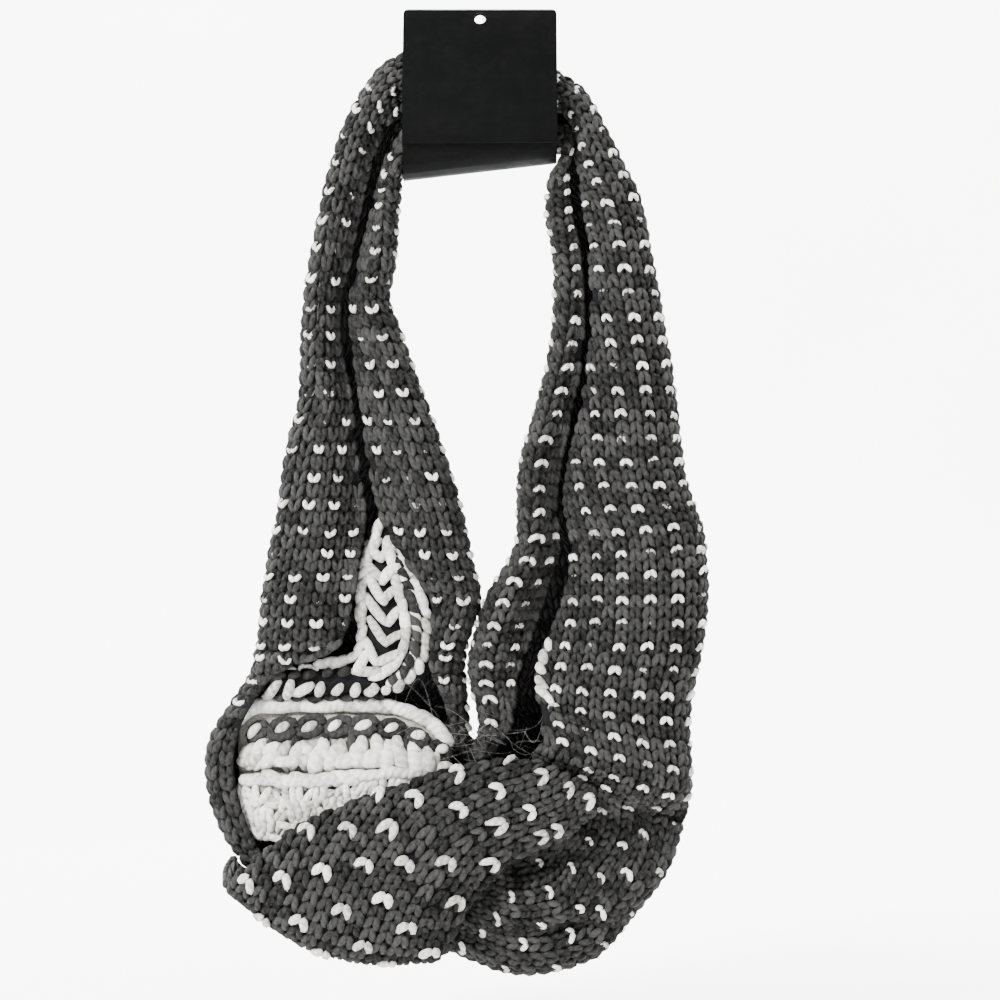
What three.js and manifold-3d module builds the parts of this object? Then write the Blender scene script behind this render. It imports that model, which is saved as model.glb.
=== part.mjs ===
// A knitted infinity scarf, gathered in a folded hang card and hanging from the card's hole.
// Millimetres, +Z up, -Y towards the viewer. The origin is the middle of the hang hole.
import * as THREE from 'three';
import { mergeVertices } from 'three/addons/utils/BufferGeometryUtils.js';
import Module from 'manifold-3d';

// Knitted wall
const WALL = 4.4;
const RIB_HEIGHT = 0.7;
const SEAM_GAP = 0.34;
const CHANNEL_RIBS = 14;
const ROUNDNESS = 0.78;

// Card
const CARD_WIDTH = 104;
const CARD_WALL = 1.0;
const CARD_TOP = 8;
const CARD_CORNER = 5;
const HANG_HOLE = 8;
const HOLE_SIDES = 24;
const CORNER_STEPS = 6;
// the sleeve's lower side slopes by this much, from the first height to the second
const CARD_SKEW = 0.115;
const SKEW_TOP = -84;
const SKEW_BOTTOM = -102;

// Each row is one section of the band, in the order in which the band runs: through the card, down
// the left side, round the bottom and up the right side. outX and outZ are the loop's outer
// silhouette, inX and inZ its inner one. depth is the front-to-back size. outFlap and inFlap are
// where the two free edges lie, as shares of the way from the outer to the inner silhouette. front
// scales the front wall's height, tuck is how far the free edges dive in, and rolls is the depth of
// the long troughs in the outer flap. shift moves the whole section back.
const COLUMNS = [
  'outX', 'outZ', 'inX', 'inZ', 'depth', 'outFlap', 'inFlap', 'front', 'tuck', 'rolls', 'shift',
];
const SECTIONS = [
  // through the card, from right to left
  [30, -26, 32, -97, 36, 0.44, 0.60, 0.9, 10, 0, 0],
  [8, -21, 8, -101, 37, 0.44, 0.60, 0.9, 10, 0, 0],
  [-13, -19, -13, -103.9, 38, 0.44, 0.60, 0.9, 10, 0, 0],
  [-32, -19, -32, -105.5, 38, 0.44, 0.60, 0.9, 10, 0, 0],
  // left side, downwards
  [-50, -21, -50, -105, 38, 0.46, 0.66, 0.9, 11, 0, 0],
  [-69, -33, -54, -107, 40, 0.50, 0.72, 1.0, 12, 0, 0],
  [-88, -61, -54.5, -112, 42, 0.52, 0.74, 1.0, 14, 0, 0],
  [-99, -88, -54, -120, 44, 0.52, 0.72, 1.0, 15, 0, 0],
  [-108, -122, -55, -134, 46, 0.50, 0.68, 1.0, 16, 0, 0],
  [-116, -163, -57, -165, 48, 0.46, 0.60, 1.0, 18, 0, 0],
  [-120, -190, -61, -190, 50, 0.40, 0.56, 1.0, 20, 0, 0],
  [-121, -218, -51, -218, 53, 0.34, 0.50, 1.0, 22, 0, 0],
  [-122, -258, -37, -258, 57, 0.39, 0.49, 1.0, 22, 0, 0],
  [-129, -285, -27, -285, 60, 0.42, 0.51, 1.0, 24, 0, 0],
  [-137, -333, -12, -333, 65, 0.46, 0.55, 1.0, 26, 0, 0],
  [-143, -367, -5, -367, 69, 0.43, 0.68, 1.0, 20, 0, 0],
  [-148, -394, 1.5, -394, 72, 0.41, 0.78, 1.0, 14, 0, 0],
  [-151, -424, -8, -424, 76, 0.38, 0.84, 0.95, 8, 0, 0],
  [-155, -441, -10, -441, 78, 0.12, 0.86, 0.9, 6, 0, 0],
  // round the bottom, from the left to the right
  [-167, -462, -9, -458, 81, 0.07, 0.92, 0.85, 4, 0, 0],
  [-182, -486, -8, -470, 84, 0.09, 0.94, 0.85, 4, 0, 0],
  [-187, -512, -7.5, -480, 86, 0.10, 0.95, 0.8, 4, 0, 2],
  [-177, -549, -7, -486, 88, 0.09, 0.95, 0.8, 4, 0, 4],
  [-157, -578, -6, -489, 84, 0.07, 0.95, 0.7, 4, 0, 6],
  [-125, -595, -5, -490.5, 80, 0.10, 0.95, 0.7, 4, 0, 8],
  [-79, -606, -4, -491, 80, 0.20, 0.95, 0.62, 2, 2, 8],
  [-22, -633, -3, -490.8, 82, 0.46, 0.95, 0.64, 0, 6, 6],
  [27, -649, -2, -490, 86, 0.68, 0.95, 0.8, 0, 13, 2],
  [75, -639, -1.2, -488.7, 88, 0.72, 0.94, 0.84, 0, 15, 0],
  [101, -613, -0.8, -487, 88, 0.73, 0.93, 0.84, 0, 16, 0],
  [126, -581, -0.6, -484.5, 88, 0.74, 0.92, 0.8, 0, 16, 0],
  [137, -551, -0.5, -481.5, 87, 0.74, 0.91, 0.68, 0, 14, 0],
  // right side, upwards
  [143, -524, -0.5, -477, 86, 0.72, 0.89, 1.06, 4, 4, -1],
  [143, -500, -1, -470, 84, 0.70, 0.86, 1.06, 8, 0, -2],
  [142, -476, -4, -460, 82, 0.70, 0.83, 1.0, 13, 0, -3],
  [145, -452, -8, -444, 79, 0.70, 0.80, 1.0, 19, 0, -4],
  [151, -424, -5.5, -424, 76, 0.68, 0.77, 1.0, 24, 0, -5],
  [154, -388, 3.5, -394, 72, 0.64, 0.75, 1.0, 28, 0, -5],
  [152, -350, 23, -360, 68, 0.70, 0.78, 1.0, 24, 0, -4],
  [144, -326, 25, -330, 64, 0.73, 0.80, 1.0, 22, 0, -3],
  [138, -300, 27, -300, 61, 0.70, 0.77, 1.0, 18, 0, -2],
  [134, -262, 38, -262, 58, 0.68, 0.76, 1.0, 14, 0, 0],
  [127, -215, 48, -218, 54, 0.66, 0.75, 1.0, 12, 0, 0],
  [119, -170, 50, -170, 50, 0.64, 0.76, 1.0, 12, 0, 0],
  [110, -124, 45, -136, 46, 0.60, 0.76, 1.0, 12, 0, 0],
  [98, -98, 45, -118, 44, 0.56, 0.74, 1.0, 12, 0, 0],
  [86, -74, 48, -108, 42, 0.54, 0.72, 1.0, 12, 0, 0],
  [72, -49, 56.8, -97.2, 40, 0.52, 0.68, 1.0, 12, 0, 0],
  [54, -36, 55, -90.8, 38, 0.48, 0.64, 0.9, 11, 0, 0],
];
const LEFT_START = 3;
const BOTTOM_START = 20;
const RIGHT_START = 36;
// how many steps each stretch is drawn in
const STEPS = { top: 6, left: 24, bottom: 26, right: 22, sweep: 20, fall: 14, swag: 12, card: 44 };

// The long troughs in the outer flap. middle and half are their middle and half width as shares of
// the flap, and share is how much of the row's rolls they are deep.
const TROUGHS = [
  { middle: 0.42, half: 0.07, share: 0.55 },
  { middle: 0.74, half: 0.13, share: 1 },
];
// how far along each flap its free edge begins to dive in, as a share
const OUT_DIVE = 0.6;
const IN_DIVE = 0.55;

// Broad folds laid over the channel: across and along are their middle, as a share of the band's
// width and as a section number, each with its own half size. height is outwards.
const FOLD_COLUMNS = ['across', 'along', 'halfAcross', 'halfAlong', 'height'];
const FOLDS = [
  [0.12, 12, 0.035, 4.0, -3.0],
  [0.20, 14, 0.040, 3.0, 2.5],
  [0.86, 13, 0.040, 3.5, -2.5],
  [0.45, 14, 0.060, 6.0, -4.0],
  [0.62, 12, 0.050, 5.0, -3.5],
  [0.50, 24, 0.070, 5.0, -5.0],
  [0.66, 30, 0.050, 5.0, 3.5],
  [0.16, 37, 0.040, 3.0, -2.5],
  [0.28, 34, 0.040, 3.5, 2.5],
  [0.55, 38, 0.060, 5.0, -4.0],
];

// Ribbons of the band that lie in or over the channel. Each row is a section from side a to side b.
// aEdge and bEdge are the Y of the two sides, crest is how far the rounded middle stands in front of
// them, and bow bends the section sideways.
const RIBBON_COLUMNS = ['aX', 'aZ', 'bX', 'bZ', 'aEdge', 'bEdge', 'crest', 'bow'];
const FRONT_SWEEP = [
  [-170, -570, -42, -624, 4, 4, 3, 17],
  [-173, -577, -36, -628, -8, -8, 5, 19],
  [-169, -585, -30, -633, -20, -20, 10, 19],
  [-158, -576, -24, -626, -31, -31, 13, 15],
  [-142, -563, -17, -611, -32, -34, 15, 8],
  [-122, -547, -10, -598, -33, -34, 16, 3],
  [-92, -533, 0, -585, -34, -34, 16, 0],
  [-54, -520, 10, -573, -34, -34, 16, 0],
  [-27, -510, 22, -565, -35, -33, 15, 0],
  [0, -504, 34, -559, -37, -33, 13, 0],
  [27, -501, 46, -555, -38, -33, 11, 0],
  [47, -504, 58, -549, -39, -34, 9, 0],
  [61, -511, 67, -541, -39, -36, 6, 0],
  [75, -521, 77, -533, -41, -39, 4, 0],
];
const INNER_FALL = [
  [-62, -340, -67, -340, 10, 10, 5, 0],
  [-49, -366, -77, -366, 4, 4, 8, 0],
  [-31, -390, -82, -391, 0, 0, 10, 0],
  [-25, -417, -81, -413, -2, -2, 11, 0],
  [-33, -441, -84, -430, -3, -3, 11, 0],
  [-52, -455.8, -98, -437.8, -3, -4, 10, 0],
  [-88, -458.7, -120, -440.7, -3, -5, 9, 0],
  [-128, -459.6, -138, -443.6, -2, -4, 8, 0],
  [-147, -459.6, -149, -449.6, 0, 0, 6, 0],
];
const INNER_SWAG = [
  [-165.4, -475.5, -162.4, -548.5, 8.4, 4.4, 8, 0],
  [-152, -461, -140, -557, 9, -6, 13, 0],
  [-122, -460, -116, -556, 9, -10, 16, 0],
  [-92, -460, -88, -550, 9, -12, 17, 0],
  [-59, -463, -58, -541, 8, -12, 17, 0],
  [-37, -474, -33, -532, 4, -12, 14, 0],
  [-23, -490, -18, -522, -3, -11, 10, 0],
];

// ribs across each ribbon
const RIBS = { sweep: 9, fall: 5, swag: 6 };

const CHARCOAL = { color: 0x4b4b4e, roughness: 0.95 };
const WHITE = { color: 0xdedcd2, roughness: 0.95 };
const BLACK_CARD = { color: 0x1c1e1e, roughness: 0.6 };

const named = (columns, row) => Object.fromEntries(columns.map((name, i) => [name, row[i]]));

// A smooth value between rows, through every row. A closed table runs on from its last row to its first.
function between(rows, u, closed) {
  const count = rows.length;
  const i = closed ? Math.floor(u) : Math.max(0, Math.min(Math.floor(u), count - 2));
  const t = u - i;
  const wrap = (k) => ((k % count) + count) % count;
  const clamp = (k) => Math.max(0, Math.min(count - 1, k));
  const [a, b, c, d] = [i - 1, i, i + 1, i + 2].map((k) => rows[closed ? wrap(k) : clamp(k)]);
  return a.map((p, k) => {
    const slopeIn = (c[k] - p) / 2;
    const slopeOut = (d[k] - b[k]) / 2;
    const rise = c[k] - b[k];
    return b[k] + slopeIn * t + (3 * rise - 2 * slopeIn - slopeOut) * t * t
      + (slopeIn + slopeOut - 2 * rise) * t * t * t;
  });
}

const smooth = (low, high, x) => {
  const t = Math.max(0, Math.min(1, (x - low) / (high - low)));
  return t * t * (3 - 2 * t);
};
const bump = (x, middle, half) => Math.exp(-(((x - middle) / half) ** 2));

// One section of the channel as fine points (across, y), from the outer free edge round the back to
// the inner free edge. FINE is the number of steps in each flap.
const FINE = 40;
function channelOutline(row) {
  const width = Math.hypot(row.inX - row.outX, row.inZ - row.outZ);
  const inset = WALL / 2 + RIB_HEIGHT;
  const half = row.depth / 2 - inset;
  const place = (angle) => inset + ((width - 2 * inset) * (1 - Math.cos(angle))) / 2;
  const height = (angle) => half * Math.max(0, Math.sin(angle)) ** ROUNDNESS;
  const outEnd = Math.acos(1 - 2 * row.outFlap);
  const inEnd = Math.acos(1 - 2 * row.inFlap);
  const points = [];
  for (let k = 0; k <= FINE; k += 1) {
    const t = 1 - k / FINE;
    const angle = outEnd * t;
    const trough = TROUGHS.reduce((sum, { middle, half: reach, share }) => (
      sum + row.rolls * share * bump(t, middle, reach)
    ), 0);
    const inward = row.tuck * smooth(OUT_DIVE, 1, t) + trough;
    points.push([place(angle), row.shift - row.front * height(angle) + inward]);
  }
  for (let k = 1; k <= 2 * FINE; k += 1) {
    const angle = (Math.PI * k) / (2 * FINE);
    points.push([place(angle), row.shift + height(angle)]);
  }
  for (let k = 1; k <= FINE; k += 1) {
    const t = k / FINE;
    const angle = Math.PI - (Math.PI - inEnd) * t;
    const inward = row.tuck * smooth(IN_DIVE, 1, t);
    points.push([place(angle), row.shift - row.front * height(angle) + inward]);
  }
  return { width, points };
}

// Evenly spaced points along a line of points.
function spaced(points, count) {
  const far = [0];
  for (let k = 1; k < points.length; k += 1) {
    const step = Math.hypot(points[k][0] - points[k - 1][0], points[k][1] - points[k - 1][1]);
    far.push(far[k - 1] + step);
  }
  const total = far[far.length - 1];
  const out = [];
  let k = 0;
  for (let n = 0; n <= count; n += 1) {
    const want = (total * n) / count;
    while (k < far.length - 2 && far[k + 1] < want) {
      k += 1;
    }
    const t = (want - far[k]) / (far[k + 1] - far[k]);
    out.push([
      points[k][0] + (points[k + 1][0] - points[k][0]) * t,
      points[k][1] + (points[k + 1][1] - points[k][1]) * t,
    ]);
  }
  return out;
}

function channelLine(u, count) {
  const row = named(COLUMNS, between(SECTIONS, u, true));
  const { width, points } = channelOutline(row);
  const along = [(row.inX - row.outX) / width, (row.inZ - row.outZ) / width];
  return spaced(points, count).map(([s, y]) => new THREE.Vector3(
    row.outX + along[0] * s,
    y,
    row.outZ + along[1] * s,
  ));
}

// One section of a ribbon: a rounded arch. Its two sides turn a little under, by this angle each.
const UNDER = 1.83;
function ribbonLine(rows, u, count) {
  const row = named(RIBBON_COLUMNS, between(rows, u));
  const across = [row.bX - row.aX, row.bZ - row.aZ];
  const length = Math.hypot(...across);
  const normal = [across[1] / length, -across[0] / length];
  return Array.from({ length: count + 1 }, (_, n) => {
    const angle = UNDER * ((2 * n) / count - 1);
    const t = (1 + Math.sin(angle) / Math.sin(Math.min(UNDER, Math.PI / 2))) / 2;
    const push = row.bow * Math.sin(Math.PI * t);
    return new THREE.Vector3(
      row.aX + across[0] * t + normal[0] * push,
      row.aEdge + (row.bEdge - row.aEdge) * t - row.crest * Math.cos(angle),
      row.aZ + across[1] * t + normal[1] * push,
    );
  });
}

// A closed wall on the lines that line(u) gives at these places. The ribs are on its outer side.
// NEAR is the step, in rows, to the lines that give its direction.
const NEAR = 0.01;
function wall(line, places, extra) {
  const grid = places.map(line);
  const before = places.map((u) => line(u - NEAR));
  const after = places.map((u) => line(u + NEAR));
  const rows = grid.length;
  const columns = grid[0].length;
  const positions = [];
  for (const side of [1, -1]) {
    for (let i = 0; i < rows; i += 1) {
      for (let j = 0; j < columns; j += 1) {
        const along = after[i][j].clone().sub(before[i][j]);
        const normal = grid[i][Math.min(columns - 1, j + 1)].clone().sub(grid[i][Math.max(0, j - 1)]);
        normal.cross(along).normalize();
        const rib = side > 0 && j % 2 === 1 ? RIB_HEIGHT : 0;
        const reach = (side * WALL) / 2 + rib + extra(places[i], j / (columns - 1));
        const moved = grid[i][j].clone().addScaledVector(normal, reach);
        positions.push(moved.x, moved.y, moved.z);
      }
    }
  }
  const index = (side, i, j) => side * rows * columns + i * columns + j;
  const faces = [];
  const quad = (a, b, c, d) => {
    faces.push(a, b, c, a, c, d);
  };
  for (let i = 0; i < rows - 1; i += 1) {
    for (let j = 0; j < columns - 1; j += 1) {
      quad(index(0, i, j), index(0, i, j + 1), index(0, i + 1, j + 1), index(0, i + 1, j));
      quad(index(1, i, j), index(1, i + 1, j), index(1, i + 1, j + 1), index(1, i, j + 1));
    }
  }
  // the end faces are split along the same diagonal at both ends, so that neighbours fit
  const upTo = (count) => Array.from({ length: count }, (_, n) => n);
  const rim = [
    ...upTo(columns - 1).map((j) => [0, j]),
    ...upTo(rows - 1).map((i) => [i, columns - 1]),
    ...upTo(columns - 1).map((j) => [rows - 1, columns - 1 - j]),
    ...upTo(rows - 1).map((i) => [rows - 1 - i, 0]),
  ];
  rim.forEach(([i, j], n) => {
    const [p, q] = rim[(n + 1) % rim.length];
    if (i === rows - 1 && p === i) {
      quad(index(0, i, j), index(1, i, j), index(1, p, q), index(0, p, q));
    } else {
      quad(index(1, i, j), index(1, p, q), index(0, p, q), index(0, i, j));
    }
  });
  const geometry = new THREE.BufferGeometry();
  geometry.setAttribute('position', new THREE.Float32BufferAttribute(positions, 3));
  geometry.setIndex(faces);
  geometry.computeVertexNormals();
  return geometry;
}

function mesh(name, geometry, look) {
  const made = new THREE.Mesh(geometry, new THREE.MeshStandardMaterial({ ...look, metalness: 0 }));
  made.name = name;
  return made;
}

// How far the folds lift the channel outwards at a place along it and across it.
function lift(u, v) {
  return FOLDS.map((row) => named(FOLD_COLUMNS, row)).reduce((sum, fold) => {
    const across = bump(v, fold.across, fold.halfAcross);
    return sum + fold.height * across * bump(u, fold.along, fold.halfAlong);
  }, 0);
}

const spread = (from, to, steps) => (
  Array.from({ length: steps + 1 }, (_, n) => from + ((to - from) * n) / steps)
);

// A stretch of the channel from one section to another, short of each end by half a seam gap.
function channel(name, from, to, steps) {
  const trim = (u, way) => {
    const [a, b] = [between(SECTIONS, u, true), between(SECTIONS, u + way * NEAR, true)];
    const outer = Math.hypot(b[0] - a[0], b[1] - a[1]);
    const inner = Math.hypot(b[2] - a[2], b[3] - a[3]);
    return u + (way * NEAR * SEAM_GAP) / 2 / Math.min(outer, inner);
  };
  const places = spread(trim(from, 1), trim(to, -1), steps);
  const line = (u) => channelLine(u, 2 * CHANNEL_RIBS);
  return mesh(name, wall(line, places, lift), CHARCOAL);
}

function ribbon(name, rows, steps, ribs, look) {
  const places = spread(0, rows.length - 1, steps);
  const line = (u) => ribbonLine(rows, u, 2 * ribs);
  return mesh(name, wall(line, places, () => 0), look);
}

// The card's outline from the side, as (y, z): down the front, back over the top, down behind, under
// the scarf and up again behind the front.
const CARD_LINE = [
  [-27.5, -87], [-25.5, -60], [-20.5, -35], [-12, -12], [-2.2, 7], [0, 8], [2.2, 7], [12, -12], [21, -35],
  [26, -62], [25, -82], [17, -96], [3, -103], [-12, -100], [-22, -90], [-24.2, -80], [-23.2, -66],
];

function cardSection() {
  const curve = new THREE.CatmullRomCurve3(CARD_LINE.map(([y, z]) => new THREE.Vector3(0, y, z)), false);
  const points = curve.getSpacedPoints(STEPS.card);
  const sides = [1, -1].map((side) => points.map((p, n) => {
    const a = points[Math.max(0, n - 1)];
    const b = points[Math.min(STEPS.card, n + 1)];
    const length = Math.hypot(b.y - a.y, b.z - a.z);
    const reach = (side * CARD_WALL) / 2 / length;
    return new THREE.Vector2(p.y - (b.z - a.z) * reach, p.z + (b.y - a.y) * reach);
  }));
  return new THREE.Shape([...sides[0], ...sides[1].reverse()]);
}

// The card's outline from the front, with its rounded top corners.
const CARD_REACH = 130;
function cardFront() {
  const half = CARD_WIDTH / 2;
  const shape = new THREE.Shape();
  shape.moveTo(-half, -CARD_REACH);
  shape.lineTo(half, -CARD_REACH);
  shape.absarc(half - CARD_CORNER, CARD_TOP - CARD_CORNER, CARD_CORNER, 0, Math.PI / 2, false);
  shape.absarc(CARD_CORNER - half, CARD_TOP - CARD_CORNER, CARD_CORNER, Math.PI / 2, Math.PI, false);
  const slab = new THREE.ExtrudeGeometry(shape, {
    depth: CARD_REACH, bevelEnabled: false, curveSegments: CORNER_STEPS,
  });
  slab.rotateX(Math.PI / 2);
  slab.translate(0, CARD_REACH / 2, 0);
  return slab;
}

// corners closer than this are one point
const SAME_POINT = 1e-4;
async function hangCard() {
  // the sheet is made wider than the card, and the front outline cuts it to size
  const wide = CARD_WIDTH + 2 * CARD_CORNER;
  const body = new THREE.ExtrudeGeometry(cardSection(), { depth: wide, bevelEnabled: false });
  // the section's (y, z) stand in (x, y) and the card's width in z
  body.applyMatrix4(new THREE.Matrix4().set(0, 0, 1, -wide / 2, 1, 0, 0, 0, 0, 1, 0, 0, 0, 0, 0, 1));
  const place = body.attributes.position;
  for (let n = 0; n < place.count; n += 1) {
    const low = smooth(SKEW_TOP, SKEW_BOTTOM, place.getZ(n));
    place.setZ(n, place.getZ(n) + low * CARD_SKEW * place.getX(n));
  }
  const hole = new THREE.CylinderGeometry(HANG_HOLE / 2, HANG_HOLE / 2, CARD_REACH, HOLE_SIDES);
  const wasm = await Module();
  wasm.setup();
  const solid = (geometry) => {
    const plain = geometry.clone();
    plain.deleteAttribute('normal');
    plain.deleteAttribute('uv');
    const merged = mergeVertices(plain, SAME_POINT);
    return new wasm.Manifold(new wasm.Mesh({
      numProp: 3,
      vertProperties: new Float32Array(merged.attributes.position.array),
      triVerts: new Uint32Array(merged.index.array),
    }));
  };
  const cut = solid(body).intersect(solid(cardFront())).subtract(solid(hole)).getMesh();
  const geometry = new THREE.BufferGeometry();
  geometry.setAttribute('position', new THREE.BufferAttribute(cut.vertProperties, 3));
  geometry.setIndex(new THREE.BufferAttribute(cut.triVerts, 1));
  geometry.computeVertexNormals();
  return mesh('hang_card', geometry, BLACK_CARD);
}

const loopEnd = SECTIONS.length - 1;
const group = new THREE.Group();
group.add(channel('top_bundle', loopEnd, SECTIONS.length + LEFT_START, STEPS.top));
group.add(channel('left_limb', LEFT_START, BOTTOM_START, STEPS.left));
group.add(channel('bottom_fold', BOTTOM_START, RIGHT_START, STEPS.bottom));
group.add(channel('right_limb', RIGHT_START, loopEnd, STEPS.right));
group.add(ribbon('front_sweep', FRONT_SWEEP, STEPS.sweep, RIBS.sweep, CHARCOAL));
group.add(ribbon('inner_fall', INNER_FALL, STEPS.fall, RIBS.fall, WHITE));
group.add(ribbon('inner_swag', INNER_SWAG, STEPS.swag, RIBS.swag, WHITE));
group.add(await hangCard());

export default group;
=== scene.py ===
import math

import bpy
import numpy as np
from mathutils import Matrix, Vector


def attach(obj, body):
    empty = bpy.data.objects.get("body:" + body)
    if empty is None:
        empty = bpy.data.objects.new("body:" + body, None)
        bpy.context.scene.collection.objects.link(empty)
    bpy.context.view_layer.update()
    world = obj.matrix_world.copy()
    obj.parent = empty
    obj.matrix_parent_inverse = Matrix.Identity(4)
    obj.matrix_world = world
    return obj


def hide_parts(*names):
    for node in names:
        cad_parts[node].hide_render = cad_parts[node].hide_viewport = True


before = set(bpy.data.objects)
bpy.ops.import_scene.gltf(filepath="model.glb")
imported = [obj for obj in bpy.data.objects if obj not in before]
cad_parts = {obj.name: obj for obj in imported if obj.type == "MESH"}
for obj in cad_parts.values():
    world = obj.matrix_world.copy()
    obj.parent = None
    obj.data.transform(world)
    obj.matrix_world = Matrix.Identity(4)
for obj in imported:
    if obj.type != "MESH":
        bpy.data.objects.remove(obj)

# A knitted infinity scarf on its folded hang card. Tables and lengths are in millimetres, and every
# mesh is made in metres. The band is laid out by two numbers: along, which counts the rows of the
# section table, and across, from the outer free edge (0) round the back to the inner free edge (1).

MM = 0.001
RANDOM = np.random.default_rng(11)
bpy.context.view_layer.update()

# Camera: level, from the front, at the photograph's frame
IMAGE_SIZE = 1000
MM_PER_PIXEL = 0.68
HOLE_PIXEL = (480, 20)
LENS = 100.0
SENSOR = 36.0


def make_camera():
    camera = bpy.data.objects.new("camera", bpy.data.cameras.new("camera"))
    camera.data.lens = LENS
    camera.data.sensor_width = SENSOR
    middle = IMAGE_SIZE / 2
    distance = IMAGE_SIZE * MM_PER_PIXEL * LENS / SENSOR
    camera.location = (
        (middle - HOLE_PIXEL[0]) * MM_PER_PIXEL * MM,
        -distance * MM,
        (HOLE_PIXEL[1] - middle) * MM_PER_PIXEL * MM,
    )
    camera.rotation_euler = (math.pi / 2, 0, 0)
    bpy.context.scene.collection.objects.link(camera)
    bpy.context.scene.camera = camera


make_camera()

# The same section tables as the solids are made from
COLUMNS = [
    "outX", "outZ", "inX", "inZ", "depth", "outFlap", "inFlap", "front", "tuck", "rolls", "shift",
]
SECTIONS = [
    # through the card, from right to left
    [30, -26, 32, -97, 36, 0.44, 0.60, 0.9, 10, 0, 0],
    [8, -21, 8, -101, 37, 0.44, 0.60, 0.9, 10, 0, 0],
    [-13, -19, -13, -103.9, 38, 0.44, 0.60, 0.9, 10, 0, 0],
    [-32, -19, -32, -105.5, 38, 0.44, 0.60, 0.9, 10, 0, 0],
    # left side, downwards
    [-50, -21, -50, -105, 38, 0.46, 0.66, 0.9, 11, 0, 0],
    [-69, -33, -54, -107, 40, 0.50, 0.72, 1.0, 12, 0, 0],
    [-88, -61, -54.5, -112, 42, 0.52, 0.74, 1.0, 14, 0, 0],
    [-99, -88, -54, -120, 44, 0.52, 0.72, 1.0, 15, 0, 0],
    [-108, -122, -55, -134, 46, 0.50, 0.68, 1.0, 16, 0, 0],
    [-116, -163, -57, -165, 48, 0.46, 0.60, 1.0, 18, 0, 0],
    [-120, -190, -61, -190, 50, 0.40, 0.56, 1.0, 20, 0, 0],
    [-121, -218, -51, -218, 53, 0.34, 0.50, 1.0, 22, 0, 0],
    [-122, -258, -37, -258, 57, 0.39, 0.49, 1.0, 22, 0, 0],
    [-129, -285, -27, -285, 60, 0.42, 0.51, 1.0, 24, 0, 0],
    [-137, -333, -12, -333, 65, 0.46, 0.55, 1.0, 26, 0, 0],
    [-143, -367, -5, -367, 69, 0.43, 0.68, 1.0, 20, 0, 0],
    [-148, -394, 1.5, -394, 72, 0.41, 0.78, 1.0, 14, 0, 0],
    [-151, -424, -8, -424, 76, 0.38, 0.84, 0.95, 8, 0, 0],
    [-155, -441, -10, -441, 78, 0.12, 0.86, 0.9, 6, 0, 0],
    # round the bottom, from the left to the right
    [-167, -462, -9, -458, 81, 0.07, 0.92, 0.85, 4, 0, 0],
    [-182, -486, -8, -470, 84, 0.09, 0.94, 0.85, 4, 0, 0],
    [-187, -512, -7.5, -480, 86, 0.10, 0.95, 0.8, 4, 0, 2],
    [-177, -549, -7, -486, 88, 0.09, 0.95, 0.8, 4, 0, 4],
    [-157, -578, -6, -489, 84, 0.07, 0.95, 0.7, 4, 0, 6],
    [-125, -595, -5, -490.5, 80, 0.10, 0.95, 0.7, 4, 0, 8],
    [-79, -606, -4, -491, 80, 0.20, 0.95, 0.62, 2, 2, 8],
    [-22, -633, -3, -490.8, 82, 0.46, 0.95, 0.64, 0, 6, 6],
    [27, -649, -2, -490, 86, 0.68, 0.95, 0.8, 0, 13, 2],
    [75, -639, -1.2, -488.7, 88, 0.72, 0.94, 0.84, 0, 15, 0],
    [101, -613, -0.8, -487, 88, 0.73, 0.93, 0.84, 0, 16, 0],
    [126, -581, -0.6, -484.5, 88, 0.74, 0.92, 0.8, 0, 16, 0],
    [137, -551, -0.5, -481.5, 87, 0.74, 0.91, 0.68, 0, 14, 0],
    # right side, upwards
    [143, -524, -0.5, -477, 86, 0.72, 0.89, 1.06, 4, 4, -1],
    [143, -500, -1, -470, 84, 0.70, 0.86, 1.06, 8, 0, -2],
    [142, -476, -4, -460, 82, 0.70, 0.83, 1.0, 13, 0, -3],
    [145, -452, -8, -444, 79, 0.70, 0.80, 1.0, 19, 0, -4],
    [151, -424, -5.5, -424, 76, 0.68, 0.77, 1.0, 24, 0, -5],
    [154, -388, 3.5, -394, 72, 0.64, 0.75, 1.0, 28, 0, -5],
    [152, -350, 23, -360, 68, 0.70, 0.78, 1.0, 24, 0, -4],
    [144, -326, 25, -330, 64, 0.73, 0.80, 1.0, 22, 0, -3],
    [138, -300, 27, -300, 61, 0.70, 0.77, 1.0, 18, 0, -2],
    [134, -262, 38, -262, 58, 0.68, 0.76, 1.0, 14, 0, 0],
    [127, -215, 48, -218, 54, 0.66, 0.75, 1.0, 12, 0, 0],
    [119, -170, 50, -170, 50, 0.64, 0.76, 1.0, 12, 0, 0],
    [110, -124, 45, -136, 46, 0.60, 0.76, 1.0, 12, 0, 0],
    [98, -98, 45, -118, 44, 0.56, 0.74, 1.0, 12, 0, 0],
    [86, -74, 48, -108, 42, 0.54, 0.72, 1.0, 12, 0, 0],
    [72, -49, 56.8, -97.2, 40, 0.52, 0.68, 1.0, 12, 0, 0],
    [54, -36, 55, -90.8, 38, 0.48, 0.64, 0.9, 11, 0, 0],
]
LEFT_START = 3
BOTTOM_START = 20
RIGHT_START = 36
LOOP_END = len(SECTIONS) - 1
WALL = 4.4
RIB_HEIGHT = 0.7
ROUNDNESS = 0.78
# troughs over the outer flap: middle, half size, and share of the row's depth of rolls
TROUGHS = [(0.42, 0.07, 0.55), (0.74, 0.13, 1.0)]
# shares of the flaps where their edges start to dive
OUT_DIVE = 0.6
IN_DIVE = 0.55
# points in a quarter of a section
FINE = 40

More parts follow.
